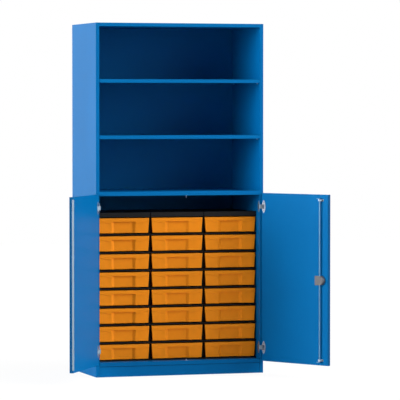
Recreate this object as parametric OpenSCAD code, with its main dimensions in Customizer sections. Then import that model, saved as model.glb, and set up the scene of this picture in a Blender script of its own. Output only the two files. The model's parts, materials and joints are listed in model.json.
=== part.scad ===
// Parts bin cabinet: an open shelf unit above, two doors with a rod lock below,
// and three racks of pull-out bins behind the doors.
// +X is to the right seen from the front, +Y runs to the back, +Z is up. The origin is
// on the floor, in the middle of the plinth board's underside.

/* [Carcass] */
// Width over the side panels
carcass_w = 944; // [860:1:1060]
// Height from the floor to the top
carcass_h = 1900; // [1750:1:2100]
// Depth of the side panels, without the doors
carcass_d = 490; // [475:1:600]
// Thickness of the side panels, the top, the loose shelves and the plinth
board_t = 19; // [16:1:22]
// Thickness of the fixed shelf and of the bottom panel
fixed_board_t = 22; // [19:1:25]
// Height of the plinth, from the floor to the bottom panel
plinth_h = 56; // [50:1:80]
// How far the plinth stands back from the front edges
plinth_inset = 2; // [1:1:40]
// Clear height behind the doors, from the bottom panel to the fixed shelf
door_bay_h = 894; // [880:1:930]
// Thickness of the back panel
back_t = 8; // [5:1:12]
// Width of the rebate that holds the back panel
rebate_w = 10; // [6:1:12]

/* [Loose shelves] */
// Setback of the loose shelves from the front edges
shelf_setback = 2; // [0:1:20]
// Clearance at each end of a loose shelf
shelf_clearance = 1; // [0.5:0.5:2]
// Diameter of the shelf pins
pin_d = 5; // [4:0.5:6]
// Length of a shelf pin inside the side panel
pin_in = 9; // [7:1:11]
// Length of a shelf pin under the shelf
pin_out = 9; // [6:1:14]
// Distance of the pin holes from the front edges and from the back panel
pin_edge = 37; // [30:1:60]
// Distance between the holes of a row
hole_pitch = 32; // [25:1:40]

/* [Dowels] */
// Diameter of the wooden dowels in the corner joints
dowel_d = 8; // [6:1:8]
// Length of a dowel
dowel_l = 30; // [24:1:36]
// Depth of a dowel's hole in the side panel
dowel_side = 12; // [10:1:13]
// Distance of the outer dowels from the front and back edges
dowel_edge = 60; // [40:1:90]
// Radial clearance of dowels, shelf pins and screws in their holes
fit_clearance = 0.05; // [0.02:0.01:0.1]

/* [Doors] */
// Thickness of a door
door_t = 19; // [18:1:22]
// Gap between a closed door and the front edges
door_gap = 2; // [2:0.5:3]
// Gap between the two closed doors
middle_gap = 3; // [2:0.5:5]
// How far a closed door stays inside the cabinet's width
door_reveal = 1; // [0.5:0.5:2]
// How far a door reaches below the top face of the bottom panel
door_lap_bottom = 12; // [5:0.5:18]
// How far a door reaches above the underside of the fixed shelf
door_lap_top = 9.5; // [5:0.5:16]
// Opening angle of the right door at its stop, as drawn
right_open = 120; // [0:0.5:121]
// Opening angle of the left door at its stop, as drawn
left_open = 122; // [0:0.5:122]

/* [Meeting strip] */
// How far the strip reaches past the left door's edge
strip_lap = 17; // [10:1:25]
// How far the strip reaches over the left door's inner face
strip_seat = 14; // [10:1:25]
// Depth of the strip's return leg
strip_leg = 11; // [6:1:14]
// Thickness of the strip
strip_t = 1.5; // [1:0.1:1.6]
// Gap between the strip and the ends of its opening
strip_end_gap = 3; // [2:0.5:8]

/* [Hinges] */
// Height of a hinge above the door's lower edge, and below its upper edge
hinge_inset = 74; // [60:1:120]
// Distance of the hinge pins from the cabinet's side, inwards
pin_side = 4; // [4:0.1:5]
// Distance of the hinge pins in front of the front edges
pin_front = 9; // [8.5:0.1:10]
// Height of the wing let into the door
door_wing_h = 72; // [64:1:80]
// Width of the wing let into the door
door_wing_w = 26; // [25:0.5:30]
// Depth of that wing in the door
wing_depth = 12.5; // [12.2:0.1:14]
// Height of the wing on the side panel
side_wing_h = 64; // [54:1:76]
// Width of the wing on the side panel
side_wing_w = 24; // [20:1:28]
// Thickness of the wing on the side panel
side_wing_t = 3; // [2.5:0.1:4]
// Distance of that wing from the front edge
side_wing_edge = 2.5; // [2:0.5:6]

/* [Rod lock] */
// Height of the lock above the door's lower edge
lock_h = 456; // [300:1:600]
// Distance of the lock and its rod from the right door's free edge
lock_edge = 48; // [42:1:75]
// Width and height of the lock's case
case_size = 49; // [38:1:52]
// Depth of the lock's case
case_depth = 24; // [20:1:30]
// Diameter of the rod
rod_d = 8; // [6:0.5:10]
// Distance of the rod's axis from the door's inner face
rod_off = 12; // [10:0.5:16]
// Reach of the hooks from the rod's axis to the middle of the catch stud
hook_reach = 13.5; // [12:0.5:18]
// Diameter of the catch studs
stud_d = 6; // [5:0.5:8]
// Length of the catch stud under the fixed shelf
upper_stud_l = 15; // [12:1:20]
// Diameter of the turning knob
knob_d = 34; // [28:1:44]
// How far the knob stands out from the door
knob_l = 26; // [20:1:36]

/* [Bins] */
// Gap between a bin's rim and the wall beside it
bin_side_gap = 2; // [1.5:0.5:3]
// Depth of a bin, front to back
bin_d = 400; // [340:1:405]
// Vertical gap between a bin and the one below
bin_gap = 17.5; // [14:0.5:18]
// Wall thickness of a bin
bin_wall = 2.2; // [1.8:0.1:3]
// Thickness of a bin's floor
bin_floor = 2.5; // [2:0.1:4]
// How much narrower a bin's front is at its foot, each side
front_taper = 6; // [0:0.5:8]
// How far the bin's front stands out past its rim at each side
front_over = 1.5; // [0:0.1:1.5]
// Width of the rim that slides on the ledges, each side
rim_w = 11; // [10:0.5:13]
// Thickness of the rim
rim_t = 3; // [2:0.1:4]
// Height of the lip across the top of the front
lip_h = 19.5; // [15:0.5:26]
// How much lower the lip reaches beside the finger recess than at the bin's sides
lip_dip = 11; // [0:1:16]
// Width of the finger recess in the front
recess_w = 134; // [100:1:150]
// How much narrower the finger recess is at its bottom, each side
recess_side = 16; // [6:1:24]
// Depth of the finger recess, from the lip's face
recess_d = 9.5; // [7:0.5:16]

/* [Racks] */
// Distance of the racks and bins behind the front edges
rack_inset = 60; // [50:1:66]
// Thickness of a wall between two columns of bins
rack_wall_t = 12; // [8:1:16]
// Thickness of a wall beside a side panel
rack_side_t = 6; // [4:1:8]
// Width of a ledge that carries a bin's rim
ledge_w = 9; // [7:0.5:10]
// Thickness of a ledge
ledge_t = 3; // [2:0.5:5]
// Running gap between a bin's rim and its ledge
ledge_gap = 0.4; // [0.3:0.1:1]
// Height of the cross bars between the rows of bins
bar_h = 5.5; // [4:0.5:7]
// How far the rack walls stand back behind the bins' fronts
wall_back = 20; // [6:1:30]
// Height of the space under the lowest bin
foot_gap = 10; // [8:1:14]
// Free height over the racks, under the fixed shelf
rack_room = 92; // [75:1:110]
// Height of the covers on top of the racks
cover_h = 25; // [15:1:30]
// Gap between two covers
cover_gap = 4; // [2:1:8]
// Wall thickness of the covers
cover_t = 3; // [2:0.5:5]

/* [Hidden] */
COLS = 3;
ROWS = 8;
BIN_NODES = [for (c = [1:COLS]) for (r = [1:ROWS]) str("bin_", c, "_", r)];

// Colours
blue_out = [0.20, 0.50, 0.78];
blue_edge = [0.05, 0.42, 0.70];
blue_door = [0.10, 0.42, 0.68];
charcoal = [0.13, 0.13, 0.14];
orange = [0.92, 0.49, 0.10];
zinc = [0.72, 0.74, 0.76];
alu = [0.66, 0.72, 0.78];
beech = [0.80, 0.65, 0.45];

$fn = 48;
cut = 1; // how far a cutting shape runs past a face

front_y = -(plinth_inset + board_t / 2); // plane of the carcass front edges
half_w = carcass_w / 2;
inner_half = half_w - board_t;
floor_z = plinth_h + fixed_board_t; // top face of the bottom panel
fixed_z = floor_z + door_bay_h; // underside of the fixed shelf
bay_z = fixed_z + fixed_board_t; // top face of the fixed shelf
top_z = carcass_h - board_t; // underside of the top panel
inner_d = carcass_d - back_t; // from the front edges to the back panel
bay_h = (top_z - bay_z - 2 * board_t) / 3;
lower_shelf_z = bay_z + bay_h;
upper_shelf_z = lower_shelf_z + board_t + bay_h;

hole_spare = 0.5; // how much deeper a blind hole is than what sits in it

// Doors, as closed
door_z0 = floor_z - door_lap_bottom;
door_z1 = fixed_z + door_lap_top;
door_in = half_w - door_reveal; // hinge-side edge
door_w = door_in - middle_gap / 2;
door_face = -door_gap; // inner face, from the front plane
door_out = door_face - door_t;

// Hinges, with the right door closed
pin_x = half_w - pin_side;
pin_y = -pin_front;
pin_r = 1.2;
eye_r = pin_side - door_reveal; // the eyes end flush with the door's edge
hinge_z = [door_z0 + hinge_inset, door_z1 - hinge_inset];
arm_half = 11; // half height of the arm
arm_gap = 0.6; // between the arm and the eyes above and below it
lug_t = 3; // height of the eyes on the door's wing
lug_half = arm_half + arm_gap + lug_t;
lug_gap = 0.3; // between the door and the eyes in its notch
wing_lip = 1.2; // how far the wing's rim reaches over its housing, and its thickness
wing_wall = 0.7; // between the arm's slot and the housing's outside
wing_x = door_in - 1.5 - door_wing_w / 2;
wing_screw_r = 1.8;
wing_screw_l = 14;
wing_screw_z = door_wing_h / 2 - 14;
side_wing_y = side_wing_edge + side_wing_w / 2;
side_screw_r = 2;
side_screw_l = 15;
side_screw_z = side_wing_h / 2 - 10;

// Rod lock, with the right door closed
rod_x = middle_gap / 2 + lock_edge;
rod_y = door_face + rod_off;
lock_z = door_z0 + lock_h;
rod_r = rod_d / 2;
rod_bore = rod_r + 0.08;
stud_x = rod_x - hook_reach;
stud_y = rod_y;
lower_stud_l = foot_gap - 1.5; // the lowest bin passes over it
hook_t = 3;
hook_half = rod_r + 3; // half width of a hook
hook_slot_r = stud_d / 2 + 0.6; // half width of the slot that takes the stud
hook_z = [floor_z + lower_stud_l - hook_t / 2, fixed_z - upper_stud_l + hook_t];
hook_lip = 2.5; // width of the hook round the end of its slot
guide_h = 10;
guide_w = 22;
guide_foot = 7; // how far a guide's foot reaches past it, each side
guide_foot_t = 2;
guide_off = [9, 8.6]; // between the middles of a guide and its hook, lower and upper
guide_z = [hook_z[0] + guide_off[0], hook_z[1] - guide_off[1]];
shaft_r = 8;
shaft_bore = shaft_r + 0.08;
shaft_in = 6; // how far the knob's shaft enters the case
knob_gap = 0.3; // between the knob and the rosette
grip_w = 8;
grip_l = knob_d - 4;
grip_h = 4; // how far the grip bar stands out from the knob
cylinder_in = 10; // how far the key cylinder enters the knob
escutcheon_t = 3;
escutcheon_r = knob_d / 2 + 4;
cylinder_r = 6;
keyway = [1.5, 6, 8]; // width, depth and height of the slot for the key

// Racks and bins
rack_back = 4; // how far the walls run on behind the bins
rack_head = 5; // how far the walls stand above the top bins
col_w = 2 * inner_half / COLS;
bin_w = col_w - rack_wall_t - 2 * bin_side_gap;
bin_foot = floor_z + foot_gap; // underside of the lowest bin
rack_y = front_y + rack_inset;
rack_d = bin_d + rack_back;
rack_top = fixed_z - rack_room - cover_h;
pitch = (rack_top - rack_head + bin_gap - bin_foot) / ROWS;
bin_h = pitch - bin_gap;
ledge_y = rack_inset + wall_back; // front end of the walls and their ledges
bar_gap = 0.5; // how far the cross bars stand back behind the bins' fronts
bar_side_gap = 1; // between a cross bar and the side panel
lip_t = 1.5;
front_t = 4;
recess_top = bin_h - lip_h;
body_top = bin_w / 2 - rim_w; // half width of the bin's body under the rim
front_half = bin_w / 2 + front_over; // half width of its front at the top
body_foot = body_top - 6; // the body narrows towards its foot
body_back = 3; // how far the rim reaches past the body at the back
back_lean = 4;

function col_x(c) = (c - (COLS + 1) / 2) * col_w;
function bin_z(r) = bin_foot + (ROWS - r) * pitch; // row 1 is the top one
function ledge_z(r) = bin_z(r) + bin_h - rim_t - ledge_gap - ledge_t;

// ---- helpers ----

// A box from its low corner and its size, with y counted from the front edges
module board(low, size) {
    translate([low[0], front_y + low[1], low[2]]) cube(size);
}

// Puts what is drawn for the right side on the left side too
module both_sides() {
    children();
    mirror([1, 0, 0]) children();
}

// Swings what is drawn with the right door closed to the open angle
module swung(angle) {
    translate([pin_x, front_y + pin_y, 0]) rotate([0, 0, angle])
        translate([-pin_x, -front_y - pin_y, 0]) children();
}

module on_right_door() { swung(right_open) children(); }
module on_left_door() { mirror([1, 0, 0]) swung(left_open) children(); }

// A rod along +Y from y0 to y1, with y counted from the front edges
module along_y(x, y0, y1, z, r) {
    translate([x, front_y + y0, z]) rotate([-90, 0, 0]) cylinder(h = y1 - y0, r = r);
}

// A rod along X from x0 to x1
module along_x(x0, x1, y, z, r) {
    translate([x0, front_y + y, z]) rotate([0, 90, 0]) cylinder(h = x1 - x0, r = r);
}

// Radius of an arc, from its chord and its height
function arc_r(chord, height) = (chord * chord + 4 * height * height) / (8 * height);

// ---- carcass ----

function dowel_ys() = [dowel_edge, inner_d / 2, inner_d - dowel_edge];
function dowel_zs() = [top_z + board_t / 2, fixed_z + fixed_board_t / 2,
    floor_z - fixed_board_t / 2];
plinth_dowel_z = plinth_h / 2;
plinth_dowel_y = plinth_inset + board_t / 2;

// The right-hand dowels or their holes: reach is how far they run each way from the joint
module right_dowels(out, inward, r) {
    for (z = dowel_zs()) for (y = dowel_ys())
        along_x(inner_half - inward, inner_half + out, y, z, r);
    along_x(inner_half - inward, inner_half + out, plinth_dowel_y, plinth_dowel_z, r);
}

module dowel_holes() {
    depth = dowel_l - dowel_side + hole_spare;
    both_sides() right_dowels(dowel_side, depth, dowel_d / 2 + fit_clearance);
}

function pin_ys() = [pin_edge, inner_d - pin_edge];
function pin_zs() = [lower_shelf_z - pin_d / 2, upper_shelf_z - pin_d / 2];

// Side panel, drawn for the right: rebate for the back, dowel holes and pin holes
module side_panel() {
    difference() {
        board([inner_half, 0, 0], [board_t, carcass_d, carcass_h]);
        board([inner_half - cut, inner_d, plinth_h],
            [rebate_w + cut, back_t + cut, top_z + rebate_w - plinth_h]);
        right_dowels(dowel_side, cut, dowel_d / 2 + fit_clearance);
        for (z = pin_zs()) for (y = pin_ys()) for (k = [-1:1])
            along_x(inner_half - cut, inner_half + pin_in, y, z + k * hole_pitch,
                pin_d / 2 + fit_clearance);
        for (z = hinge_z) for (k = [-1, 1])
            along_x(inner_half - cut, inner_half + side_screw_l - side_wing_t,
                side_wing_y, z + k * side_screw_z, side_screw_r + fit_clearance);
    }
}

module right_side() { color(blue_out) side_panel(); }
module left_side() { color(blue_out) mirror([1, 0, 0]) side_panel(); }

module top_panel() {
    color(blue_edge) difference() {
        board([-inner_half, 0, top_z], [2 * inner_half, carcass_d, board_t]);
        board([-inner_half - cut, inner_d, top_z - cut],
            [2 * (inner_half + cut), back_t + cut, rebate_w + cut]);
        dowel_holes();
    }
}

module fixed_shelf() {
    color(blue_edge) difference() {
        board([-inner_half, 0, fixed_z], [2 * inner_half, inner_d, fixed_board_t]);
        dowel_holes();
        stud_shank(fixed_z, 1, stud_shank_r + fit_clearance);
    }
}

module bottom_panel() {
    color(blue_edge) difference() {
        board([-inner_half, 0, plinth_h], [2 * inner_half, inner_d, fixed_board_t]);
        dowel_holes();
        stud_shank(floor_z, -1, stud_shank_r + fit_clearance);
    }
}

module back_panel() {
    color(blue_door)
        board([-inner_half - rebate_w, inner_d, plinth_h],
            [2 * (inner_half + rebate_w), back_t, top_z + rebate_w - plinth_h]);
}

module plinth() {
    color(blue_edge) difference() {
        board([-inner_half, plinth_inset, 0], [2 * inner_half, board_t, plinth_h]);
        dowel_holes();
    }
}

module loose_shelf(z) {
    w = 2 * (inner_half - shelf_clearance);
    color(blue_edge)
        board([-w / 2, shelf_setback, z],
            [w, inner_d - shelf_setback - shelf_clearance, board_t]);
}

module upper_shelf() { loose_shelf(upper_shelf_z); }
module lower_shelf() { loose_shelf(lower_shelf_z); }

module shelf_pins() {
    color(zinc) both_sides() for (z = pin_zs()) for (y = pin_ys())
        along_x(inner_half - pin_out, inner_half + pin_in - hole_spare, y, z, pin_d / 2);
}

module dowels() {
    color(beech) both_sides()
        right_dowels(dowel_side - hole_spare, dowel_l - dowel_side, dowel_d / 2);
}

// ---- catch studs on the fixed shelf and the bottom panel ----

stud_base_r = 8;
stud_base_t = 1;
stud_shank_r = 2;
stud_shank_l = 12;

module stud_shank(z, way, r) {
    translate([stud_x, front_y + stud_y, z - (way < 0 ? stud_shank_l : 0)])
        cylinder(h = stud_shank_l, r = r);
}

// way is the side of the board that the stud is screwed into
module stud(z, way, length) {
    stud_shank(z, way, stud_shank_r);
    translate([stud_x, front_y + stud_y, z]) mirror([0, 0, way > 0 ? 1 : 0]) {
        cylinder(h = stud_base_t, r = stud_base_r);
        cylinder(h = length, r = stud_d / 2);
    }
}

module catch_studs() {
    color(zinc) {
        stud(fixed_z, 1, upper_stud_l);
        stud(floor_z, -1, lower_stud_l);
    }
}

// ---- hinges: a wing on the side panel, a wing let into the door, an arm and a pin ----

// The arm stays clear of the bins that slide past it. Its two faces over the side panel's
// wing, from the side panel's outer face, and its length on the wing:
arm_clear = 0.5;
arm_u = [arm_clear - board_t - rack_side_t - bin_side_gap + front_over,
    -board_t - side_wing_t];
arm_end = side_wing_y + 7;
cheek_t = 3;
cheek_z = arm_half + cheek_t / 2; // height of the arm's cheeks above and below its middle
// Where the arm starts to bend round the front edge, and its bends above and below, from
// the side panel's inner front corner
neck_y = 0.8;
neck_top = [-1.2, -2.4];
neck_bottom = [[-2.5, -8.2], [-5.8, -3]];

// Leaves with pointed ends, each the overlap of two rods along X or along Y
module leaf_on_side(x0, x1, y, z, length, width) {
    r = arc_r(length, width / 2);
    intersection_for (k = [-1, 1]) along_x(x0, x1, y + k * (r - width / 2), z, r);
}

module leaf_on_door(y0, y1, z, inset) {
    r = arc_r(door_wing_h, door_wing_w / 2);
    intersection_for (k = [-1, 1])
        along_y(wing_x + k * (r - door_wing_w / 2), y0, y1, z, r - inset);
}

// Wing on the side panel, drawn for the right: a leaf with a screw near each point
module side_wing(z) {
    x0 = inner_half - side_wing_t;
    difference() {
        leaf_on_side(x0, inner_half, side_wing_y, z, side_wing_h, side_wing_w);
        for (k = [-1, 1])
            along_x(x0 - cut, inner_half + cut, side_wing_y, z + k * side_screw_z,
                side_screw_r + fit_clearance);
    }
}

module side_wings() { color(zinc) both_sides() for (z = hinge_z) side_wing(z); }

screw_head_t = 1.6;
screw_head_r = 3.4;

module side_wing_screws() {
    x0 = inner_half - side_wing_t;
    color(zinc) both_sides() for (h = hinge_z) for (k = [-1, 1]) {
        z = h + k * side_screw_z;
        along_x(x0, x0 + side_screw_l - hole_spare, side_wing_y, z, side_screw_r);
        along_x(x0 - screw_head_t, x0, side_wing_y, z, screw_head_r);
    }
}

// The arm seen from above: straight on the wing, then round the side panel's front edge
// to the eye on the hinge pin
module arm(z) {
    corner = half_w - board_t;
    translate([0, front_y, z]) difference() {
        union() {
            translate([0, 0, -arm_half]) linear_extrude(2 * arm_half) polygon(concat(
                [[half_w + arm_u[0], arm_end], [half_w + arm_u[1], arm_end],
                    [half_w + arm_u[1], neck_y], [corner + neck_top[0], neck_top[1]],
                    [pin_x - 0.3 * eye_r, pin_y + 0.95 * eye_r],
                    [pin_x - 0.3 * eye_r, pin_y - 0.95 * eye_r]],
                [for (p = neck_bottom) [corner + p[0], p[1]]],
                [[half_w + arm_u[0], neck_y]]));
            translate([pin_x, pin_y, -arm_half]) cylinder(h = 2 * arm_half, r = eye_r);
            // side cheeks of the arm over the wing
            for (k = [-1, 1])
                translate([half_w + arm_u[0], side_wing_edge, k * cheek_z - cheek_t / 2])
                    cube([arm_u[1] - arm_u[0], arm_end - side_wing_edge, cheek_t]);
        }
        translate([pin_x, pin_y, -arm_half - cut])
            cylinder(h = 2 * (arm_half + cut), r = pin_r);
    }
}

module hinge_arms() { color(zinc) both_sides() for (z = hinge_z) arm(z); }

// Held in the arm's eye; the eyes of the door's wing turn on its ends
module hinge_pins() {
    color(zinc) both_sides() for (z = hinge_z)
        translate([pin_x, front_y + pin_y, z - lug_half])
            cylinder(h = 2 * lug_half, r = pin_r);
}

// The wing's housing, or its hole in the door, with gap round it and past the face by past
module housing(z, gap, past) {
    r = arc_r(door_wing_h - 4, wing_depth);
    intersection() {
        leaf_on_door(door_face - wing_depth - cut, door_face + past, z, wing_lip - gap);
        along_x(wing_x - door_wing_w, wing_x + door_wing_w, door_face - wing_depth + r, z,
            r + gap);
    }
}

// Wing in the door's inner face, door closed: a boat-shaped casting with a thin rim, a
// slot for the arm and two eyes on the hinge pin
module door_wing(z) {
    slot_x = wing_x - door_wing_w / 2 + wing_lip + wing_wall;
    slot_half = arm_half + arm_gap;
    difference() {
        union() {
            housing(z, 0, 0);
            leaf_on_door(door_face, door_face + wing_lip, z, 0);
            translate([pin_x, front_y + pin_y, z - lug_half])
                cylinder(h = 2 * lug_half, r = eye_r);
            board([pin_x - eye_r, pin_y, z - lug_half],
                [2 * eye_r, door_face - pin_y, 2 * lug_half]);
        }
        board([slot_x, pin_y - eye_r - lug_gap, z - slot_half],
            [half_w - slot_x, half_w, 2 * slot_half]);
        translate([pin_x, front_y + pin_y, z - lug_half - cut])
            cylinder(h = 2 * (lug_half + cut), r = pin_r + fit_clearance);
        for (k = [-1, 1]) {
            along_y(wing_x, door_out, door_face, z + k * wing_screw_z,
                wing_screw_r + fit_clearance);
            along_y(wing_x, door_face + wing_lip - screw_head_t,
                door_face + wing_lip + cut, z + k * wing_screw_z,
                screw_head_r + fit_clearance);
        }
    }
}

// Their heads lie flush in the wing
module wing_screws() {
    for (z = hinge_z) for (k = [-1, 1]) {
        along_y(wing_x, door_face + wing_lip - wing_screw_l, door_face,
            z + k * wing_screw_z, wing_screw_r);
        along_y(wing_x, door_face + wing_lip - screw_head_t, door_face + wing_lip,
            z + k * wing_screw_z, screw_head_r);
    }
}

module right_door_wings() { color(zinc) on_right_door() for (z = hinge_z) door_wing(z); }
module left_door_wings() { color(zinc) on_left_door() for (z = hinge_z) door_wing(z); }
module right_wing_screws() { color(zinc) on_right_door() wing_screws(); }
module left_wing_screws() { color(zinc) on_left_door() wing_screws(); }

// ---- doors, drawn closed on the right ----

module door_blank() {
    difference() {
        board([middle_gap / 2, door_out, door_z0], [door_w, door_t, door_z1 - door_z0]);
        for (z = hinge_z) {
            housing(z, fit_clearance, cut);
            // notch for the arm and the eyes on the hinge pin
            board([wing_x, pin_y - eye_r - lug_gap, z - lug_half - lug_gap],
                [half_w - wing_x, half_w, 2 * (lug_half + lug_gap)]);
            for (k = [-1, 1])
                along_y(wing_x, door_face + wing_lip - wing_screw_l - hole_spare,
                    door_face + cut, z + k * wing_screw_z, wing_screw_r + fit_clearance);
        }
    }
}

module left_door() { color(blue_door) on_left_door() door_blank(); }

module right_door() {
    color(blue_door) on_right_door() difference() {
        door_blank();
        along_y(rod_x, door_out - cut, door_face + cut, lock_z, shaft_bore);
        lock_screw_shanks(hole_spare);
    }
}

tape_t = 0.4; // tape that holds the strip on the door

// Strip on the left door that closes the gap between the doors
module meeting_strip() {
    x0 = middle_gap / 2 - strip_lap;
    y0 = door_face + tape_t;
    z0 = floor_z + strip_end_gap;
    h = door_bay_h - 2 * strip_end_gap;
    color(alu) on_left_door() {
        board([x0, y0, z0], [strip_lap + strip_seat, strip_t, h]);
        board([x0, y0, z0], [strip_t, strip_leg, h]);
        board([middle_gap / 2, door_face, z0], [strip_seat, tape_t, h]);
    }
}

// ---- rod lock on the right door, drawn closed ----

lock_screw_r = 1.8;
lock_screw_l = 12;
lock_head_r = 3.2;
lock_head_t = 1.5;
case_nose = 4; // how far the middle of the case's round end lies past the rod
case_screw_in = 7; // of the case's screws from its sides and ends

// Two near the square corners and one in the round end
function case_screws() = let (far = case_size / 2 - case_screw_in) [
    [rod_x + far, lock_z - far], [rod_x + far, lock_z + far], [rod_x - case_nose - far, lock_z]];
function guide_screws() = [for (z = guide_z) for (i = [-1, 1])
    [rod_x + i * (guide_w + guide_foot) / 2, z]];

module lock_screw_shanks(extra) {
    for (p = concat(case_screws(), guide_screws()))
        along_y(p[0], door_face - lock_screw_l - extra, door_face + cut, p[1],
            lock_screw_r + fit_clearance);
}

// The case is square towards the hinges and round towards the door's free edge
module lock_case() {
    r = case_size / 2;
    color(zinc) on_right_door() difference() {
        union() {
            along_y(rod_x - case_nose, door_face, door_face + case_depth, lock_z, r);
            board([rod_x - case_nose, door_face, lock_z - r],
                [r + case_nose, case_depth, case_size]);
        }
        translate([rod_x, front_y + rod_y, lock_z - r - cut])
            cylinder(h = case_size + 2 * cut, r = rod_bore);
        along_y(rod_x, door_face - cut, door_face + shaft_in + hole_spare, lock_z,
            shaft_bore);
        for (p = case_screws())
            along_y(p[0], door_face - cut, door_face + case_depth + cut, p[1],
                lock_screw_r + fit_clearance);
    }
}

module escutcheon() {
    color(zinc) on_right_door() difference() {
        along_y(rod_x, door_out - escutcheon_t, door_out, lock_z, escutcheon_r);
        along_y(rod_x, door_out - escutcheon_t - cut, door_out + cut, lock_z,
            shaft_bore);
    }
}

// Brackets that hold the rod near its ends
module rod_guides() {
    color(zinc) on_right_door() for (z = guide_z) difference() {
        union() {
            board([rod_x - guide_w / 2 - guide_foot, door_face, z - guide_h / 2],
                [guide_w + 2 * guide_foot, guide_foot_t, guide_h]);
            board([rod_x - guide_w / 2, door_face, z - guide_h / 2],
                [guide_w, rod_off, guide_h]);
            translate([rod_x, front_y + rod_y, z - guide_h / 2])
                cylinder(h = guide_h, r = guide_w / 2 - 2);
        }
        translate([rod_x, front_y + rod_y, z - guide_h / 2 - cut])
            cylinder(h = guide_h + 2 * cut, r = rod_bore);
        for (i = [-1, 1])
            along_y(rod_x + i * (guide_w + guide_foot) / 2, door_face - cut,
                door_face + guide_foot_t + cut, z, lock_screw_r + fit_clearance);
    }
}

module lock_screws() {
    color(zinc) on_right_door() {
        for (p = case_screws()) {
            along_y(p[0], door_face - lock_screw_l, door_face + case_depth, p[1],
                lock_screw_r);
            along_y(p[0], door_face + case_depth, door_face + case_depth + lock_head_t,
                p[1], lock_head_r);
        }
        for (p = guide_screws()) {
            along_y(p[0], door_face - lock_screw_l, door_face + guide_foot_t, p[1],
                lock_screw_r);
            along_y(p[0], door_face + guide_foot_t,
                door_face + guide_foot_t + lock_head_t, p[1], lock_head_r);
        }
    }
}

// Hook at an end of the rod, drawn unlocked: it points away from the door. Its slot is an
// arc about the rod, open on the side that meets the stud first as the hook turns to lock.
module hook(z) {
    reach = hook_reach + hook_slot_r + hook_lip;
    translate([rod_x, front_y + rod_y, z - hook_t / 2]) difference() {
        union() {
            cylinder(h = hook_t, r = hook_half);
            translate([-hook_half, 0, 0]) cube([2 * hook_half, reach, hook_t]);
        }
        translate([0, hook_reach, -cut]) cylinder(h = hook_t + 2 * cut, r = hook_slot_r);
        intersection() {
            translate([0, 0, -cut]) difference() {
                cylinder(h = hook_t + 2 * cut, r = hook_reach + hook_slot_r);
                translate([0, 0, -cut])
                    cylinder(h = hook_t + 4 * cut, r = hook_reach - hook_slot_r);
            }
            translate([-hook_half - cut, 0, -cut])
                cube([hook_half + cut, reach + cut, hook_t + 2 * cut]);
        }
    }
}

module lock_rod() {
    color(alu) on_right_door() {
        translate([rod_x, front_y + rod_y, hook_z[0] - hook_t / 2])
            cylinder(h = hook_z[1] - hook_z[0] + hook_t, r = rod_r);
        for (z = hook_z) hook(z);
    }
}

module turn_knob() {
    y1 = door_out - escutcheon_t - knob_gap;
    color(zinc) on_right_door() difference() {
        union() {
            along_y(rod_x, door_out - knob_l, y1, lock_z, knob_d / 2);
            along_y(rod_x, y1 - cut, door_face + shaft_in, lock_z, shaft_r);
            // grip bar across the knob
            board([rod_x - grip_w / 2, door_out - knob_l - grip_h, lock_z - grip_l / 2],
                [grip_w, grip_h + cut, grip_l]);
        }
        along_y(rod_x, door_out - knob_l - grip_h - cut, door_out - knob_l + cylinder_in,
            lock_z, cylinder_r + fit_clearance);
    }
}

module key_cylinder() {
    y0 = door_out - knob_l - grip_h;
    color(alu) on_right_door() difference() {
        along_y(rod_x, y0, door_out - knob_l + cylinder_in, lock_z, cylinder_r);
        board([rod_x - keyway[0] / 2, y0 - cut, lock_z - keyway[2] / 2],
            [keyway[0], keyway[1] + cut, keyway[2]]);
    }
}

// ---- racks ----

// A wall with a ledge for each row of bins, on the sides that face bins
module rack_wall(x0, t, left, right) {
    color(charcoal) {
        board([x0, ledge_y, floor_z], [t, rack_d - wall_back, rack_top - floor_z]);
        for (r = [1:ROWS]) {
            if (left)
                board([x0 - ledge_w, ledge_y, ledge_z(r)],
                    [ledge_w, rack_inset + rack_d - ledge_y, ledge_t]);
            if (right)
                board([x0 + t, ledge_y, ledge_z(r)],
                    [ledge_w, rack_inset + rack_d - ledge_y, ledge_t]);
        }
    }
}

module rack_wall_1() { rack_wall(-inner_half, rack_side_t, false, true); }
module rack_wall_2() {
    rack_wall(-col_w / 2 - rack_wall_t / 2, rack_wall_t, true, true);
}
module rack_wall_3() {
    rack_wall(col_w / 2 - rack_wall_t / 2, rack_wall_t, true, true);
}
module rack_wall_4() { rack_wall(inner_half - rack_side_t, rack_side_t, true, false); }

// Cross bars on the walls' front edges, one under each row of bins
module rack_bars() {
    half = inner_half - bar_side_gap;
    color(charcoal) for (r = [1:ROWS]) {
        z = r == ROWS ? floor_z : bin_z(r) - (bin_gap + bar_h) / 2;
        board([-half, rack_inset + bar_gap, z], [2 * half, wall_back - bar_gap, bar_h]);
    }
}

module rack_covers() {
    w = col_w - cover_gap;
    color(charcoal) for (c = [1:COLS]) difference() {
        board([col_x(c) - w / 2, rack_inset, rack_top], [w, rack_d, cover_h]);
        board([col_x(c) - w / 2 + cover_t, rack_inset + cover_t, rack_top - cut],
            [w - 2 * cover_t, rack_d - 2 * cover_t, cover_h - cover_t + cut]);
    }
}

// ---- bins, with the front face at y = 0, the foot at z = 0 and the middle at x = 0 ----

// A prism along Y: half width foot at z = z0, half width head at z = z1
module taper(y0, y1, z0, z1, foot, head) {
    translate([0, y1, 0]) rotate([90, 0, 0]) linear_extrude(y1 - y0)
        polygon([[-foot, z0], [foot, z0], [head, z1], [-head, z1]]);
}

// The same, with the back end leaning in towards the foot
module bin_block(y0, y1, z0, z1, foot, head, lean) {
    intersection() {
        taper(y0, y1, z0, z1, foot, head);
        translate([-head, 0, 0]) rotate([90, 0, 90]) linear_extrude(2 * head)
            polygon([[y0, z0], [y1 - lean, z0], [y1, z1], [y0, z1]]);
    }
}

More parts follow.
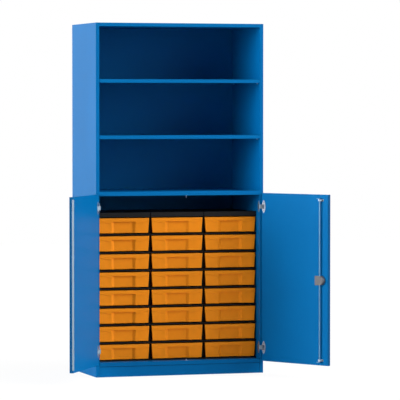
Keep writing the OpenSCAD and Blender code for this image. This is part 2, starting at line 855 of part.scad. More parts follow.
// What is cut from the front plate, so that its face stands back below the lip
module below_lip() {
    w = recess_w / 2;
    translate([0, lip_t, 0]) rotate([90, 0, 0]) linear_extrude(lip_t + cut)
        polygon([[-front_half, -cut], [front_half, -cut], [front_half, recess_top],
            [w, recess_top - lip_dip], [-w, recess_top - lip_dip],
            [-front_half, recess_top]]);
}

// Outline of the finger recess seen from above; more is the wall's thickness round it
module recess_outline(more) {
    mouth = recess_w / 2 + 2 * more;
    bottom = recess_w / 2 - recess_side + more / 2;
    polygon([[-mouth, -cut], [mouth, -cut], [mouth, lip_t], [bottom, recess_d + more],
        [-bottom, recess_d + more], [-mouth, lip_t]]);
}

module bin() {
    back_out = bin_d - body_back;
    color(orange) difference() {
        union() {
            difference() {
                union() {
                    // front plate, which stands back below the lip across its top
                    difference() {
                        taper(0, front_t, 0, bin_h, front_half - front_taper, front_half);
                        below_lip();
                    }
                    // rim that rides on the ledges
                    taper(0, bin_d, bin_h - rim_t, bin_h, bin_w / 2, bin_w / 2);
                    bin_block(lip_t, back_out, 0, bin_h, body_foot, body_top, back_lean);
                }
                bin_block(front_t, back_out - bin_wall, bin_floor, bin_h + cut,
                    body_foot - bin_wall, body_top - bin_wall, back_lean);
            }
            // walls of the finger recess
            difference() {
                linear_extrude(recess_top + bin_wall) recess_outline(bin_wall);
                translate([-bin_w / 2, -2 * cut, -cut])
                    cube([bin_w, lip_t + 2 * cut, recess_top + bin_wall + 2 * cut]);
            }
        }
        translate([0, 0, -cut]) linear_extrude(recess_top + cut) recess_outline(0);
    }
}

module placed_bin(c, r) { translate([col_x(c), rack_y, bin_z(r)]) bin(); }

left_side();
right_side();
top_panel();
fixed_shelf();
bottom_panel();
back_panel();
plinth();
upper_shelf();
lower_shelf();
shelf_pins();
dowels();
catch_studs();
rack_wall_1();
rack_wall_2();
rack_wall_3();
rack_wall_4();
rack_bars();
rack_covers();
side_wings();
hinge_arms();
hinge_pins();
side_wing_screws();
left_door();
left_door_wings();
left_wing_screws();
meeting_strip();
right_door();
right_door_wings();
right_wing_screws();
lock_case();
escutcheon();
rod_guides();
lock_screws();
lock_rod();
turn_knob();
key_cylinder();
for (c = [1:COLS]) for (r = [1:ROWS])
    placed_bin(c, r);
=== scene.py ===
import json
import math

import bmesh
import bpy
from mathutils import Matrix, Vector


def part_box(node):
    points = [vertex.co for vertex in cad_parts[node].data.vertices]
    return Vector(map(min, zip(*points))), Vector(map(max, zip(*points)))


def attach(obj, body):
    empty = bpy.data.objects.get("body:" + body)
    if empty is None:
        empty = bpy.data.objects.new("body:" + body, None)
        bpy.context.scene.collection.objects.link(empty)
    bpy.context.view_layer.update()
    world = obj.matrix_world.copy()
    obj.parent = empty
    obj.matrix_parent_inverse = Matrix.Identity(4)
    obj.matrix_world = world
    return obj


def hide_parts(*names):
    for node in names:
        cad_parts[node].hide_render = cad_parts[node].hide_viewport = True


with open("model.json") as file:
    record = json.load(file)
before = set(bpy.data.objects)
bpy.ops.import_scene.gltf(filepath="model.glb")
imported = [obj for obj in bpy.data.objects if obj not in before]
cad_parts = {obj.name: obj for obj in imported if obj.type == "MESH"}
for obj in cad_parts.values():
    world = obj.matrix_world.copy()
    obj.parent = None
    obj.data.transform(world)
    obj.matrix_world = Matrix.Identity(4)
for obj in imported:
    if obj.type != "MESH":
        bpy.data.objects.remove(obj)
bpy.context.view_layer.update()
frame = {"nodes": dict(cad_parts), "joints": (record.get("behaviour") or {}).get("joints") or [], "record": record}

# ---- Camera ----
# The cabinet is seen from far off with a long lens, from a little to the left of its
# middle and from about head height, so its uprights stay nearly parallel.
mm = 0.001
camera_place = (-4.5078, -14.6545, 1.4575)
camera_tilt_down = 1.907
camera_turn_right = 17.506
camera_data = bpy.data.cameras.new("camera")
camera_data.lens = 255.68
camera_data.sensor_width = 36
camera_data.clip_end = 100
camera = bpy.data.objects.new("camera", camera_data)
camera.location = camera_place
camera.rotation_euler = (math.radians(90 - camera_tilt_down), 0,
                         math.radians(-camera_turn_right))
bpy.context.scene.collection.objects.link(camera)
bpy.context.scene.camera = camera

# ---- Studio ----
# A plain pale floor in a white room. Wide soft panels light the cabinet, most of all one
# low on its left and one higher on its right, so its open front is lit from the sides and
# from above and its inside is dim.
bpy.context.scene.view_settings.view_transform = "Standard"
# each panel's place, in degrees to the right of straight in front and above the floor, and
# its level
left_panel = (-78, 6, 14.6)
right_panel = (66, 6, 1.5)
front_right_panel = (42, 6, 2.6)
high_right_panel = (60, 32, 6.2)
high_front_panel = (30, 58, 1.8)
ceiling_panel = (0, 86, 0.2)
back_left_panel = (-150, 6, 0.8)
high_back_left_panel = (-150, 32, 0.3)
back_right_panel = (162, 6, 2.0)
high_back_panel = (180, 32, 0.8)
panels = (left_panel, right_panel, front_right_panel, high_right_panel, high_front_panel,
          ceiling_panel, back_left_panel, high_back_left_panel, back_right_panel,
          high_back_panel)
panel_falloff = 16
room_mirrored_level = 0.9
room_starts_y = -0.35
room_full_y = 0.15
surround = bpy.data.worlds.new("surround")
bpy.context.scene.world = surround
surround.use_nodes = True
sky = surround.node_tree


def sky_math(operation, one, other):
    """One sum in the surround; one and other are numbers or other steps' results"""
    step = sky.nodes.new("ShaderNodeMath")
    step.operation = operation
    for socket, value in zip(step.inputs, (one, other)):
        if isinstance(value, (int, float)):
            socket.default_value = value
        else:
            sky.links.new(value, socket)
    return step.outputs[0]


direction = sky.nodes.new("ShaderNodeTexCoord").outputs["Generated"]
panel_light = 0.0
for aside, height, strength in panels:
    aside, height = math.radians(aside), math.radians(height)
    toward = sky.nodes.new("ShaderNodeVectorMath")
    toward.operation = "DOT_PRODUCT"
    toward.inputs[1].default_value = (math.sin(aside) * math.cos(height),
                                      -math.cos(aside) * math.cos(height),
                                      math.sin(height))
    sky.links.new(direction, toward.inputs[0])
    facing = sky_math("MAXIMUM", toward.outputs["Value"], 0.0)
    lit = sky_math("MULTIPLY", sky_math("POWER", facing, panel_falloff), strength)
    panel_light = sky_math("ADD", lit, panel_light)

# the white room itself shows to the camera, and behind the cabinet also in reflections
ray_kind = sky.nodes.new("ShaderNodeLightPath")
split_direction = sky.nodes.new("ShaderNodeSeparateXYZ")
sky.links.new(direction, split_direction.inputs["Vector"])
behind = sky.nodes.new("ShaderNodeMapRange")
behind.inputs["From Min"].default_value = room_starts_y
behind.inputs["From Max"].default_value = room_full_y
sky.links.new(split_direction.outputs["Y"], behind.inputs["Value"])
mirrored = sky_math("MAXIMUM", ray_kind.outputs["Is Glossy Ray"],
                    ray_kind.outputs["Is Transmission Ray"])
room_mirrored = sky_math("MULTIPLY", sky_math("MULTIPLY", mirrored, room_mirrored_level),
                         behind.outputs["Result"])
all_light = sky_math("ADD", panel_light, room_mirrored)
level = sky.nodes.new("ShaderNodeMix")
sky.links.new(ray_kind.outputs["Is Camera Ray"], level.inputs["Factor"])
sky.links.new(all_light, level.inputs[2])
level.inputs[3].default_value = 1.0
sky.nodes["Background"].inputs["Color"].default_value = (1, 1, 1, 1)
sky.links.new(level.outputs[0], sky.nodes["Background"].inputs["Strength"])

floor_reach = 14
floor_grey = 0.6
floor_white = 1.1
floor_white_share = 0.85
floor_mesh = bpy.data.meshes.new("studio_floor")
floor_mesh.from_pydata(
    [(-floor_reach, -floor_reach, 0), (floor_reach, -floor_reach, 0),
     (floor_reach, floor_reach, 0), (-floor_reach, floor_reach, 0)],
    [], [(0, 1, 2, 3)])
studio_floor = bpy.data.objects.new("studio_floor", floor_mesh)
bpy.context.scene.collection.objects.link(studio_floor)

# the floor keeps a faint shadow: most of what the camera sees of it is plain white
floor_paint = bpy.data.materials.new("studio_floor")
floor_paint.use_nodes = True
paint = floor_paint.node_tree
matt = paint.nodes.new("ShaderNodeBsdfDiffuse")
matt.inputs["Color"].default_value = (floor_grey, floor_grey, floor_grey, 1)
glow = paint.nodes.new("ShaderNodeEmission")
glow.inputs["Color"].default_value = (1, 1, 1, 1)
glow.inputs["Strength"].default_value = floor_white
floor_ray = paint.nodes.new("ShaderNodeLightPath")
white_share = paint.nodes.new("ShaderNodeMapRange")
white_share.inputs["To Min"].default_value = 0.0
white_share.inputs["To Max"].default_value = floor_white_share
floor_mix = paint.nodes.new("ShaderNodeMixShader")
paint.links.new(floor_ray.outputs["Is Camera Ray"], white_share.inputs["Value"])
paint.links.new(white_share.outputs["Result"], floor_mix.inputs["Fac"])
paint.links.new(matt.outputs[0], floor_mix.inputs[1])
paint.links.new(glow.outputs[0], floor_mix.inputs[2])
paint.links.new(floor_mix.outputs[0], paint.nodes["Material Output"].inputs["Surface"])
floor_mesh.materials.append(floor_paint)

# ---- Carcass boards ----
# Chipboard faced with blue melamine film, with a finely pearled surface. The front edges
# are banded with the same blue, and the thin glue line shows just behind the edge. The
# boards are dowelled and glued together; their long edges are eased by the banding tool.
body_of = {node: body for body, nodes in frame["record"]["behaviour"]["bodies"].items()
           for node in nodes}
board_ease = 0.6 * mm
band_t = 2 * mm
glue_line_w = 0.35 * mm
# the next width is for the painted shade line along the joints of the foot boards
joint_shade_w = 2.2 * mm
pearl_size = 1100
pearl_relief = 0.03 * mm
film_blue = (0.0005, 0.138, 0.382)
# painted shade: the side panels get a slightly darker copy of the same film blue as the other boards
shaded_side_blue = (0.0005, 0.134, 0.376)
film_cloudiness = 0.04
film_rough = (0.36, 0.46)
film_gloss = 0.045
glue_lightness = 0.45
# the next lightness is for the painted shade line at the foot boards' joints
joint_shade_lightness = 0.12
# how dark a door's free edge is made
free_edge_lightness = 0.6


def speckle(tree, scale, detail, vector=None):
    """Soft random spots, scale of them to a metre, at vector or the piece's own place"""
    noise = tree.nodes.new("ShaderNodeTexNoise")
    noise.inputs["Scale"].default_value = scale
    noise.inputs["Detail"].default_value = detail
    if vector is None:
        vector = tree.nodes.new("ShaderNodeTexCoord").outputs["Object"]
    tree.links.new(vector, noise.inputs["Vector"])
    return noise.outputs["Fac"]


def ranged(tree, value, low, high):
    """value, which runs around 0.5, spread over low to high"""
    spread = tree.nodes.new("ShaderNodeMapRange")
    spread.inputs["From Min"].default_value = 0.3
    spread.inputs["From Max"].default_value = 0.7
    spread.inputs["To Min"].default_value = low
    spread.inputs["To Max"].default_value = high
    tree.links.new(value, spread.inputs["Value"])
    return spread.outputs["Result"]


def between(tree, share, one, other):
    """colour one where share is 0, colour other where it is 1"""
    mix = tree.nodes.new("ShaderNodeMix")
    mix.data_type = "RGBA"
    tree.links.new(share, mix.inputs["Factor"])
    for socket, colour in ((6, one), (7, other)):
        if isinstance(colour, tuple):
            mix.inputs[socket].default_value = (*colour, 1)
        else:
            tree.links.new(colour, mix.inputs[socket])
    return mix.outputs[2]


def shade(colour, share):
    """The colour, share times as light"""
    return tuple(c * share for c in colour)


def raised(tree, height, relief, shader):
    """height as relief on the shader's surface, relief in metres"""
    bump = tree.nodes.new("ShaderNodeBump")
    bump.inputs["Distance"].default_value = relief
    tree.links.new(height, bump.inputs["Height"])
    tree.links.new(bump.outputs["Normal"], shader.inputs["Normal"])


def new_finish(name):
    """A new material, its node tree and its shader"""
    material = bpy.data.materials.new(name)
    material.use_nodes = True
    tree = material.node_tree
    return material, tree, tree.nodes["Principled BSDF"]


def glue_line(axis, where):
    """Where, how wide each way and how light the line behind an edge band is"""
    return axis, where, glue_line_w / 2, glue_lightness


def painted_joint_shade(axis, where):
    """The same for the joint between two boards: a line of painted shade where the joint lies in shade"""
    return axis, where, joint_shade_w / 2, joint_shade_lightness


def melamine(name, blue, marks=(), turned=None, free_edge_darkening=None):
    """Blue film with thin dark marks. turned is the (centre, angle) that closes a door,
    and the last argument the (place, side) beyond which a door's free edge is made darker"""
    material, tree, shader = new_finish(name)
    place = tree.nodes.new("ShaderNodeTexCoord").outputs["Object"]
    cloud = ranged(tree, speckle(tree, 3.0, 3, place), 0, 1)
    colour = between(tree, cloud, shade(blue, 1 - film_cloudiness),
                     shade(blue, 1 + film_cloudiness))
    if turned:
        spin = tree.nodes.new("ShaderNodeVectorRotate")
        spin.rotation_type = "Z_AXIS"
        spin.inputs["Center"].default_value = turned[0]
        spin.inputs["Angle"].default_value = turned[1]
        tree.links.new(place, spin.inputs["Vector"])
        place = spin.outputs["Vector"]
    split = tree.nodes.new("ShaderNodeSeparateXYZ")
    tree.links.new(place, split.inputs["Vector"])
    for axis, where, reach, lightness in marks:
        near = tree.nodes.new("ShaderNodeMath")
        near.operation = "COMPARE"
        tree.links.new(split.outputs[axis], near.inputs[0])
        near.inputs[1].default_value = where
        near.inputs[2].default_value = reach
        colour = between(tree, near.outputs[0], colour, shade(blue, lightness))
    if free_edge_darkening:
        beyond = tree.nodes.new("ShaderNodeMath")
        beyond.operation = "LESS_THAN" if free_edge_darkening[1] > 0 else "GREATER_THAN"
        tree.links.new(split.outputs["X"], beyond.inputs[0])
        beyond.inputs[1].default_value = free_edge_darkening[0]
        colour = between(tree, beyond.outputs[0], colour, shade(blue, free_edge_lightness))
    tree.links.new(colour, shader.inputs["Base Color"])
    pearl = speckle(tree, pearl_size, 2)
    tree.links.new(ranged(tree, pearl, *film_rough), shader.inputs["Roughness"])
    raised(tree, pearl, pearl_relief, shader)
    shader.inputs["Specular IOR Level"].default_value = film_gloss
    return material


def finished(piece, material, slot, body, *nodes):
    """Gives a piece its finish and the body it moves with, and hides the nodes it stands for; slot is not used"""
    piece.data.materials.clear()
    piece.data.materials.append(material)
    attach(piece, body)
    if nodes:
        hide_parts(*nodes)
    return piece


def from_mesh_data(name, shape, smooth_to=40):
    """A piece from a bmesh, smooth across edges flatter than smooth_to degrees"""
    mesh = bpy.data.meshes.new(name)
    bmesh.ops.recalc_face_normals(shape, faces=shape.faces)
    shape.to_mesh(mesh)
    shape.free()
    mesh.shade_smooth()
    mesh.set_sharp_from_angle(angle=math.radians(smooth_to))
    piece = bpy.data.objects.new(name, mesh)
    bpy.context.scene.collection.objects.link(piece)
    return piece


sharp_from = math.radians(50)
flat_within = math.radians(0.2)
same_point = 0.005 * mm


def eased(node, ease, material, slot, steps=2, smooth_to=50):
    """The node's own shape with its long sharp edges eased, standing for the node"""
    shape = bmesh.new()
    shape.from_mesh(frame["nodes"][node].data)
    bmesh.ops.remove_doubles(shape, verts=shape.verts, dist=same_point)
    bmesh.ops.dissolve_limit(shape, angle_limit=flat_within,
                             verts=shape.verts, edges=shape.edges)
    sharp = [e for e in shape.edges
             if len(e.link_faces) == 2 and e.calc_face_angle() > sharp_from
             and e.calc_length() > 5 * ease]
    bmesh.ops.bevel(shape, geom=sharp, offset=ease, segments=steps, profile=0.5,
                    affect="EDGES", clamp_overlap=True)
    piece = from_mesh_data(node + "_eased", shape, smooth_to)
    even = piece.modifiers.new("even_shading", "WEIGHTED_NORMAL")
    even.keep_sharp = True
    return finished(piece, material, slot, body_of[node], node)


front_glue = glue_line("Y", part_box("left_side")[0].y + band_t)
# the sides' film is the darker copy, with painted shade
shaded_side_film = melamine("blue_film_sides_shaded", shaded_side_blue, [front_glue])
for node in ("left_side", "right_side"):
    eased(node, board_ease, shaded_side_film, "blue_side")
carcass_film = melamine("blue_film", film_blue, [front_glue])
for node in ("top_panel", "fixed_shelf"):
    eased(node, board_ease, carcass_film, "blue_board")
# painted shade darkens the joints where the bottom panel and the plinth meet each other and the sides
plinth_low, plinth_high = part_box("plinth")
foot_joint_shades = [painted_joint_shade("Z", plinth_high.z), painted_joint_shade("X", plinth_low.x),
               painted_joint_shade("X", plinth_high.x)]
bottom_film = melamine("blue_film_bottom", film_blue, [front_glue] + foot_joint_shades)
eased("bottom_panel", board_ease, bottom_film, "blue_board")
plinth_film = melamine("blue_film_plinth", film_blue, foot_joint_shades)
eased("plinth", board_ease, plinth_film, "blue_board")

# ---- Back panel ----
# Fibreboard with the same blue film on its face, set from behind into the rebates of the
# sides and the top panel.
plain_film = melamine("blue_film_plain", film_blue)
finished(frame["nodes"]["back_panel"], plain_film, "blue_board", "cabinet")

# ---- Loose shelves, pins and dowels ----
# Two shelves like the carcass boards rest on nickel-plated pins in the sides' rows of
# holes. Beech dowels, glued in, hold the carcass corners together.
shelf_glue = glue_line("Y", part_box("upper_shelf")[0].y + band_t)
shelf_film = melamine("blue_film_shelves", film_blue, [shelf_glue])
for node in ("upper_shelf", "lower_shelf"):
    eased(node, board_ease, shelf_film, "blue_board")


rough_spread = 0.07


def metal(name, colour, rough, stretch=(1, 1, 1), grain=900, depth=0.004 * mm):
    """Bare or plated metal with fine marks, which run long along the axis of least
    stretch; grain is how many there are to a metre and depth how deep they are"""
    material, tree, shader = new_finish(name)
    place = tree.nodes.new("ShaderNodeTexCoord").outputs["Object"]
    drawn = tree.nodes.new("ShaderNodeVectorMath")
    drawn.operation = "MULTIPLY"
    drawn.inputs[1].default_value = stretch
    tree.links.new(place, drawn.inputs[0])
    marks = speckle(tree, grain, 3, drawn.outputs["Vector"])
    tint = ranged(tree, marks, 0, 1)
    tree.links.new(between(tree, tint, shade(colour, 0.9), shade(colour, 1.08)),
                   shader.inputs["Base Color"])
    tree.links.new(ranged(tree, marks, rough - rough_spread, rough + rough_spread),
                   shader.inputs["Roughness"])
    raised(tree, marks, depth, shader)
    shader.inputs["Metallic"].default_value = 1.0
    return material


small_ease = 0.3 * mm
pin_silver = (0.42, 0.55, 0.78)
pin_zinc = metal("plated_pins", pin_silver, 0.5)
for node in ("shelf_pins", "catch_studs"):
    eased(node, small_ease, pin_zinc, "zinc_steel")

beech_dark = (0.45, 0.27, 0.13)
beech_light = (0.62, 0.42, 0.22)
fibres_per_metre = (30, 900, 900)
beech_wood, tree, shader = new_finish("beech")
fibre_place = tree.nodes.new("ShaderNodeVectorMath")
fibre_place.operation = "MULTIPLY"
fibre_place.inputs[1].default_value = fibres_per_metre
tree.links.new(tree.nodes.new("ShaderNodeTexCoord").outputs["Object"],
               fibre_place.inputs[0])
fibres = speckle(tree, 1.0, 4, fibre_place.outputs["Vector"])
tree.links.new(between(tree, ranged(tree, fibres, 0, 1), beech_dark, beech_light),
               shader.inputs["Base Color"])
shader.inputs["Roughness"].default_value = 0.7
raised(tree, fibres, 0.05 * mm, shader)
finished(frame["nodes"]["dowels"], beech_wood, "beech", "cabinet")

# ---- Doors ----
# The same blue board, banded on all four edges, and made darker at its free edge. The
# left one carries the meeting strip, the right one the lock.


def door(node, side):
    """side is 1 for the right door and -1 for the left"""
    joint = next(j for j in frame["joints"] if j["name"] == node + "_swing")
    pin = Vector(joint["pos_m"])
    # the door stands open, and this turn about its hinge pins closes it
    closing = math.radians(joint["range_deg"][0]) * side
    turn = Matrix.Rotation(closing, 3, "Z")
    across = [(turn @ (v.co - pin) + pin).x * side
              for v in frame["nodes"][node].data.vertices]
    low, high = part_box(node)
    free_edge = side * (min(across) + band_t)
    hinge_edge = side * (max(across) - band_t)
    marks = [glue_line("X", free_edge), glue_line("X", hinge_edge),
             glue_line("Z", low.z + band_t), glue_line("Z", high.z - band_t)]
    film = melamine("blue_film_" + node, film_blue, marks, (pin, closing),
                    (free_edge, side))
    eased(node, board_ease, film, "blue_board")


door("left_door", -1)
door("right_door", 1)

# ---- Meeting strip ----
# Anodised aluminium angle taped to the inner face of the left door, where it covers the
# gap between the closed doors. Its fine lines run along its length.
strip_silver = (0.21, 0.275, 0.34)
drawn_lengthwise = (60, 60, 1)
drawing_lines = 40
drawing_depth = 0.01 * mm
anodised = metal("anodised_aluminium", strip_silver, 0.46, drawn_lengthwise,
                 drawing_lines, drawing_depth)
eased("meeting_strip", small_ease, anodised, "bright_aluminium")

# ---- Hinges ----
# Nickel-plated zinc castings. A leaf-shaped wing lies on the side panel's inner face and a
# boat-shaped casting is let into the door's edge; an arm round the front edge and an
# upright steel pin join the two. Cross-head screws hold the wings.
casting_ease = 0.6 * mm
casting_grain = 600
casting_silver = (0.44, 0.52, 0.60)
arm_silver = (0.26, 0.34, 0.42)
screw_silver = (0.33, 0.35, 0.38)
cast_zinc = metal("plated_castings", casting_silver, 0.55, grain=casting_grain)
for node in ("side_wings", "left_door_wings", "right_door_wings"):
    eased(node, casting_ease, cast_zinc, "zinc_steel", steps=3)
arm_zinc = metal("plated_arms", arm_silver, 0.55, grain=casting_grain)
eased("hinge_arms", casting_ease, arm_zinc, "zinc_steel", steps=3)
nickel = metal("nickel_plate", screw_silver, 0.5)
for node in ("hinge_pins", "side_wing_screws", "left_wing_screws", "right_wing_screws"):
    eased(node, small_ease, nickel, "zinc_steel")

# ---- Rod lock ----
# A zinc case on the inner face of the right door turns an aluminium rod, whose hooks
# catch the studs above and below. Outside are a rosette, a knob and the key cylinder.
lock_ease = 0.8 * mm
rod_ease = 0.4 * mm
case_grey = (0.205, 0.205, 0.21)
guide_silver = (0.42, 0.5, 0.6)
# the rod's silver is tinted blue: a painted reflection of the blue door around it
rod_silver_painted_blue = (0.13, 0.28, 0.43)
case_zinc = metal("lock_zinc", case_grey, 0.7, grain=casting_grain)
for node in ("lock_case", "escutcheon", "lock_screws", "turn_knob", "key_cylinder"):
    eased(node, lock_ease, case_zinc, "zinc_steel")
guide_zinc = metal("guide_zinc", guide_silver, 0.5, grain=casting_grain)
eased("rod_guides", lock_ease, guide_zinc, "zinc_steel")
rod_metal = metal("rod_painted_blue_reflection", rod_silver_painted_blue, 0.5, drawn_lengthwise,
                  drawing_lines, drawing_depth)
eased("lock_rod", rod_ease, rod_metal, "bright_aluminium")

# ---- Racks ----
# Black polystyrene side walls with moulded ledges, three hollow covers on top, and thin
# cross bars in front of the walls, which show between the rows of bins. They are screwed
# to the sides and to each other.


def moulded(name, colour, rough, grain, relief, gloss):
    """Moulded plastic with a slight flow mottle and an eroded tool grain, which has
    grain spots to a metre and is relief deep"""
    material, tree, shader = new_finish(name)
    mottle = ranged(tree, speckle(tree, 14, 3), 0, 1)
    tree.links.new(between(tree, mottle, shade(colour, 0.95), shade(colour, 1.05)),
                   shader.inputs["Base Color"])
    erosion = speckle(tree, grain, 2)
    tree.links.new(ranged(tree, erosion, rough - 0.05, rough + 0.05),
                   shader.inputs["Roughness"])
    raised(tree, erosion, relief, shader)
    shader.inputs["Specular IOR Level"].default_value = gloss
    return material


rack_ease = 0.5 * mm
cover_ease = 1.2 * mm
wall_black = (0.006, 0.006, 0.0065)
cover_charcoal = (0.014, 0.0135, 0.0135)
rack_grain = 1600
grain_relief = 0.03 * mm
satin_gloss = 0.1
rack_black = moulded("rack_black", wall_black, 0.5, rack_grain, grain_relief, satin_gloss)
for node in ("rack_wall_1", "rack_wall_2", "rack_wall_3", "rack_wall_4"):
    eased(node, rack_ease, rack_black, "rack_black")
cover_black = moulded("cover_charcoal", cover_charcoal, 0.5, rack_grain, grain_relief,
                      satin_gloss)
eased("rack_bars", rack_ease, cover_black, "rack_black")
eased("rack_covers", cover_ease, cover_black, "rack_black", steps=3)

# ---- Bins ----
# Injection-moulded orange polypropylene trays. The front is a wide plate with a lip along
# its top, which dips beside a finger recess; the tray hangs by its rim on the ledges.
bin_low, bin_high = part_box("bin_1_1")
bin_w, bin_d, bin_h = ((bin_high - bin_low) / mm)[:]
front_over = 1.5
front_taper = 6
front_t = 4
front_side_round = 0.8
front_top_round = 2.6
front_foot_round = 1.2
lip_h = 19.5
lip_dip = 11
lip_dip_run = 58
lip_step = 1.9
lip_fade = 0.6
lip_fade_from = 90
lip_fade_run = 45
recess_half = 67
recess_side = 16
recess_depth = 8
recess_softness = 0.3
recess_top = bin_h - lip_h
wall_t = 2.2
floor_t = 2.5
rim_t = 3
rim_w = 11
rim_play = 0.2
body_top = bin_w / 2 - front_over - rim_w
body_taper = 6
body_foot = body_top - body_taper
back_gap = 3
back_lean = 4
outer_corner = 7
inner_corner = 5
# distances from the middle at which the front has points, and their heights: shares of
# the part under the lip's lower edge, steps across that edge, and shares of the lip
recess_columns = (0, 14, 28, 40, 46, 49, 51, 53, 56, 59.5, 63, 65.5, 67)
outer_columns = (68.3, 72, 80, 90, 102, 114, 124, 131, 137, 141, 143.6, 143.9, 144.2,
                 144.5)
low_shares = (0, 0.006, 0.018, 0.04, 0.09, 0.25, 0.5, 0.75, 0.9, 0.97)
edge_steps = (-0.5, -0.2, 0.2, 0.5)
lip_shares = (0.12, 0.3, 0.55, 0.75, 0.86, 0.93, 0.975, 0.994, 1)
edge_margin = 1.4
edge_reach = 0.5
least_t = 0.3


def clamp01(t):
    return min(max(t, 0.0), 1.0)


def ramp(t):
    """0 to 1 with a soft start and end"""
    t = clamp01(t)
    return t * t * (3 - 2 * t)


def recess_at(u):
    """Depth of the finger recess at the distance u from the middle"""
    t = clamp01((recess_half - abs(u)) / recess_side)
    return recess_depth * ((1 - recess_softness) * t + recess_softness * ramp(t))


def above(z, edge):
    """0 below the edge, 1 above it, and soft within edge_reach of it"""
    return ramp((z - edge + edge_reach) / (2 * edge_reach))


def half_width(z):
    """Half of the front's width at the height z"""
    return bin_w / 2 - front_taper * (1 - z / bin_h)


def lip_edge(u):
    """Height of the lip's lower edge at the distance u from the middle"""
    if abs(u) <= recess_half:
        return recess_top
    return recess_top - lip_dip * (1 - clamp01((abs(u) - recess_half) / lip_dip_run))


def rounded_off(distance, radius):
    """How far a round of that radius lies back at the distance from the edge"""
    if distance >= radius:
        return 0.0
    return radius - math.sqrt(radius ** 2 - (radius - distance) ** 2)


def column_heights(edge):
    """Heights of the front's points where the lip's lower edge is at the height edge"""
    low = [share * (edge - edge_margin) for share in low_shares]
    across = [edge + step for step in edge_steps]
    lip = [edge + edge_reach + share * (bin_h - edge - edge_reach) for share in lip_shares]
    return low + across + lip


def front_point(column, z):
    """The front's and the back's point of the front plate, at a column and a height"""
    edge = lip_edge(column)
    u = column
    if abs(column) > recess_half:
        stretch = (half_width(z) - recess_half) / (bin_w / 2 - recess_half)
        u = math.copysign(recess_half + (abs(column) - recess_half) * stretch, column)
    step = lip_step
    if abs(u) > recess_half:
        step *= 1 - lip_fade * ramp((abs(u) - lip_fade_from) / lip_fade_run)
    y = (step + recess_at(u)) * (1 - above(z, edge))
    y += max(rounded_off(half_width(z) - abs(u), front_side_round),
             rounded_off(bin_h - z, front_top_round), rounded_off(z, front_foot_round))
    back = front_t + recess_at(u) * (1 - above(z - wall_t, recess_top))
    back = max(back, y + least_t)
    return (u * mm, y * mm, z * mm), (u * mm, back * mm, z * mm)


def front_plate(shape):
    """The wide plate, as a front and a back sheet joined along their four rims"""
    side = recess_columns[1:] + outer_columns
    columns = [-c for c in reversed(side)] + [0] + list(side)
    heights = [column_heights(lip_edge(column)) for column in columns]
    front, back = [], []
    for k in range(len(heights[0])):
        front.append([])
        back.append([])
        for column, levels in zip(columns, heights):
            before, behind_it = front_point(column, levels[k])
            front[-1].append(shape.verts.new(before))
            back[-1].append(shape.verts.new(behind_it))
    for sheet in (front, back):
        for r0, r1 in zip(sheet, sheet[1:]):
            for c in range(len(r0) - 1):
                shape.faces.new((r0[c], r0[c + 1], r1[c + 1], r1[c]))
    rims = [(front[0], back[0]), (front[-1], back[-1]),
            ([r[0] for r in front], [r[0] for r in back]),
            ([r[-1] for r in front], [r[-1] for r in back])]
    for a, b in rims:
        for c in range(len(a) - 1):
            shape.faces.new((a[c], a[c + 1], b[c + 1], b[c]))


def tray_ring(z, half, front, back, corner, recess_edge):
    """One closed level line of the tray; its front follows the finger recess up to the
    height recess_edge"""
    ring = []
    columns = list(recess_columns) + [80, 100, half - corner]
    for u in [-c for c in reversed(columns[1:])] + columns:
        dent = 0.0
        if recess_edge is not None:
            dent = recess_at(u) * (1 - above(z, recess_edge))
        ring.append((u, front + dent, z))
    corners = ((half, front, -90), (half, back, 0), (-half, back, 90), (-half, front, 180))
    for k, (x, y, start) in enumerate(corners):
        centre_x = x - math.copysign(corner, x)
        centre_y = y + (corner if k in (0, 3) else -corner)
        # the front line already ends in the first corner's start and the last one's end
        first = 1 if k == 0 else 0
        last = 5 if k == 3 else 6
        for i in range(first, last):
            a = math.radians(start + 90 * i / 5)
            ring.append((centre_x + corner * math.cos(a), centre_y + corner * math.sin(a),
                         z))
    return ring


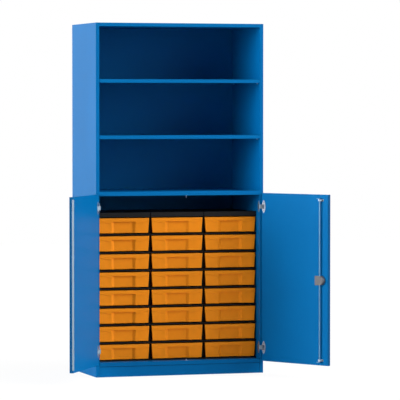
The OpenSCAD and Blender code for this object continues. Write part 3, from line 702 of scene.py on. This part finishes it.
def tray(shape):
    """The open box behind the front: outside, rim and inside as rings, floor last"""
    def half(z):
        return body_foot + (body_top - body_foot) * z / bin_h

    def rear(z):
        return bin_d - back_gap - back_lean * (1 - z / bin_h)

    front_inside = front_t + least_t
    top = bin_h - 0.15
    rim_foot = bin_h - rim_t
    rim_reach = rim_w - rim_play
    rings = []
    # outside: height, and how far the foot's round draws the ring in
    for z, inset in ((0, 2.2), (0.35, 1.1), (1.1, 0.35), (2.2, 0), (15, 0), (35, 0),
                     (55, 0), (recess_top + 0.6, 0), (recess_top + 1.6, 0), (68, 0),
                     (rim_foot - 0.8, 0)):
        rings.append(tray_ring(z, half(z) - inset, 3.0 + inset * 0.2,
                               rear(z) - inset, outer_corner, recess_top + 1.1))
    # rim: height, how far it stands out and where its front is
    for z, out, y in ((rim_foot, 0.9, 2.6), (rim_foot, rim_reach - 0.6, 2.4),
                      (rim_foot + 0.4, rim_reach, 2.4), (bin_h - 0.8, rim_reach, 2.4),
                      (top, rim_reach - 0.6, 2.4)):
        rings.append(tray_ring(z, body_top + out, y, bin_d - rim_w + out + rim_play,
                               3 + out * 0.6, None))
    # inside: height, and how far in from the outside
    for z, inset in ((top, wall_t - 0.6), (bin_h - 0.6, wall_t - 0.1), (72, wall_t),
                     (recess_top + 2.7, wall_t), (recess_top + 1.7, wall_t), (55, wall_t),
                     (35, wall_t), (15, wall_t), (floor_t + 3.4, wall_t),
                     (floor_t + 1.2, wall_t + 0.7), (floor_t + 0.3, wall_t + 2),
                     (floor_t, wall_t + 3.6)):
        rings.append(tray_ring(z, half(z) - inset, front_inside + max(inset - wall_t, 0),
                               rear(z) - inset, inner_corner, recess_top + wall_t))
    levels = [[shape.verts.new(Vector(p) * mm) for p in ring] for ring in rings]
    count = len(levels[0])
    for low, high in zip(levels, levels[1:]):
        for i in range(count):
            j = (i + 1) % count
            shape.faces.new((low[i], low[j], high[j], high[i]))
    shape.faces.new(list(reversed(levels[0])))
    shape.faces.new(levels[-1])


bin_shape = bmesh.new()
front_plate(bin_shape)
tray(bin_shape)
bin_orange = (0.93, 0.275, 0.008)
bin_grain = 1300
bin_smooth_to = 38
orange_plastic = moulded("orange_plastic", bin_orange, 0.42, bin_grain, grain_relief,
                         satin_gloss)
first_bin = from_mesh_data("bin", bin_shape, bin_smooth_to)
for node in sorted(n for n in frame["nodes"] if n.startswith("bin_")):
    low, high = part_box(node)
    piece = bpy.data.objects.new(node + "_tray", first_bin.data)
    bpy.context.scene.collection.objects.link(piece)
    piece.location = ((low.x + high.x) / 2, low.y, low.z)
    finished(piece, orange_plastic, "orange_plastic", body_of[node], node)
bpy.data.objects.remove(first_bin)
